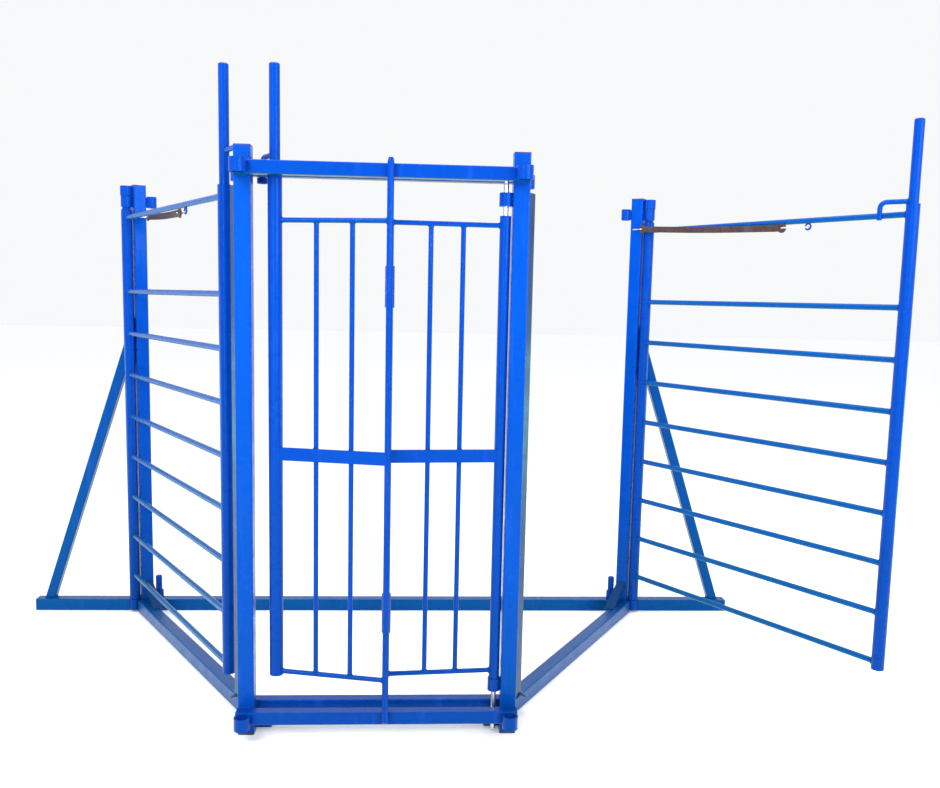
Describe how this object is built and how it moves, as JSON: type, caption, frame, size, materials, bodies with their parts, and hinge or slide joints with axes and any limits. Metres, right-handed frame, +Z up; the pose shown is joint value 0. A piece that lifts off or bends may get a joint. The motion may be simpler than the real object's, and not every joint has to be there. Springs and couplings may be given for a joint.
{
  "type": "cattle handling pen front",
  "caption": "Tubular steel pen front for cattle with a folding centre gate, sprung side gates on angled back posts, latch handles and a braced base.",
  "frame": {"origin": "on the ground under the middle of the back cross beam", "axes": "+X to the right seen from the front, +Y to the back of the pen, +Z up"},
  "size_m": [3.2181, 1.2544, 2.059],
  "materials": {
    "blue_paint": "gloss",
    "zinc": "bright zinc plate",
    "rubber": "satin",
    "foot": "matt"
  },
  "bodies": {
    "frame": {"front_post_left": "blue_paint", "front_post_right": "blue_paint", "back_post_left": "blue_paint", "back_post_right": "blue_paint", "post_caps": "blue_paint", "foot_plugs": "foot", "top_front_beam": "blue_paint", "top_rear_beam": "blue_paint", "bottom_front_beam": "blue_paint", "bottom_rear_sill": "blue_paint", "base_rail_left": "blue_paint", "base_rail_right": "blue_paint", "back_cross_beam": "blue_paint", "outrigger_left": "blue_paint", "outrigger_right": "blue_paint", "outrigger_caps": "blue_paint", "brace_left": "blue_paint", "brace_right": "blue_paint", "rail_gussets": "blue_paint", "closing_strips": "blue_paint", "front_coupling_lugs": "blue_paint", "back_coupling_lugs": "blue_paint", "peg_collars": "blue_paint", "coupling_pegs": "blue_paint", "side_hinge_lugs": "blue_paint", "side_catches": "blue_paint", "centre_catch_ring": "blue_paint", "pivot_lugs": "blue_paint", "pivot_rod": "zinc", "left_post_hook": "zinc", "right_post_hook": "zinc"},
    "left_gate": {"left_hinge_stile": "blue_paint", "left_free_stile": "blue_paint", "left_gate_rails": "blue_paint", "left_hinge_spigots": "blue_paint", "left_hinge_cap": "blue_paint", "left_strap_eye": "blue_paint", "left_gate_hook": "zinc", "left_strap": "rubber"},
    "left_latch_washer": {"left_handle_washer": "blue_paint"},
    "left_latch": {"left_handle": "blue_paint"},
    "right_gate": {"right_hinge_stile": "blue_paint", "right_free_stile": "blue_paint", "right_gate_rails": "blue_paint", "right_hinge_spigots": "blue_paint", "right_hinge_cap": "blue_paint", "right_strap_eye": "blue_paint", "right_gate_hook": "zinc", "right_strap": "rubber"},
    "right_latch_washer": {"right_handle_washer": "blue_paint"},
    "right_latch": {"right_handle": "blue_paint"},
    "centre_right_panel": {"fold_pivot_stile": "blue_paint", "fold_right_grille": "blue_paint", "rear_centre_bar": "blue_paint"},
    "centre_left_panel": {"fold_slide_stile": "blue_paint", "fold_left_grille": "blue_paint", "front_centre_bar": "blue_paint", "fold_hinge_pins": "zinc"},
    "centre_latch_washer": {"centre_handle_washer": "blue_paint"},
    "centre_latch": {"centre_handle": "blue_paint"}
  },
  "joints": [
    {"name": "left_gate_hinge", "type": "hinge", "parent": "frame", "child": "left_gate", "pos_m": [-1.08509, -0.02669, 0.9], "axis": [0, 0, -1], "range_deg": [0, 115], "deforming": ["left_strap"]},
    {"name": "left_latch_turn", "type": "hinge", "parent": "left_gate", "child": "left_latch_washer", "pos_m": [-0.49052, -0.9782, 1.698], "axis": [0, 0, -1], "range_deg": [0, 165]},
    {"name": "left_latch_lift", "type": "slide", "parent": "left_latch_washer", "child": "left_latch", "axis": [0, 0, 1], "range_m": [-0.045, 0.06]},
    {"name": "right_gate_hinge", "type": "hinge", "parent": "frame", "child": "right_gate", "pos_m": [1.08509, -0.02669, 0.9], "axis": [0, 0, 1], "range_deg": [-64.8, 50], "deforming": ["right_strap"]},
    {"name": "right_latch_turn", "type": "hinge", "parent": "right_gate", "child": "right_latch_washer", "pos_m": [1.69289, -0.9698, 1.698], "axis": [0, 0, 1], "range_deg": [0, 165]},
    {"name": "right_latch_lift", "type": "slide", "parent": "right_latch_washer", "child": "right_latch", "axis": [0, 0, 1], "range_m": [0, 0.1]},
    {"name": "centre_fold", "type": "hinge", "parent": "frame", "child": "centre_right_panel", "pos_m": [0.365, -1.105, 0.9], "axis": [0, 0, 1], "range_deg": [0, 40]},
    {"name": "centre_slide_fold", "type": "hinge", "parent": "centre_right_panel", "child": "centre_left_panel", "pos_m": [0.0235, -1.158, 0.9], "axis": [0, 0, 1], "range_deg": [-80, 0]},
    {"name": "centre_latch_turn", "type": "hinge", "parent": "centre_left_panel", "child": "centre_latch_washer", "pos_m": [-0.318, -1.105, 1.736], "axis": [0, 0, -1], "range_deg": [0, 55]},
    {"name": "centre_latch_lift", "type": "slide", "parent": "centre_latch_washer", "child": "centre_latch", "axis": [0, 0, 1], "range_m": [-0.01, 0.085]}
  ],
  "couplings": [
    {"joint": "centre_slide_fold", "follows": "centre_fold", "ratio": -2}
  ]
}
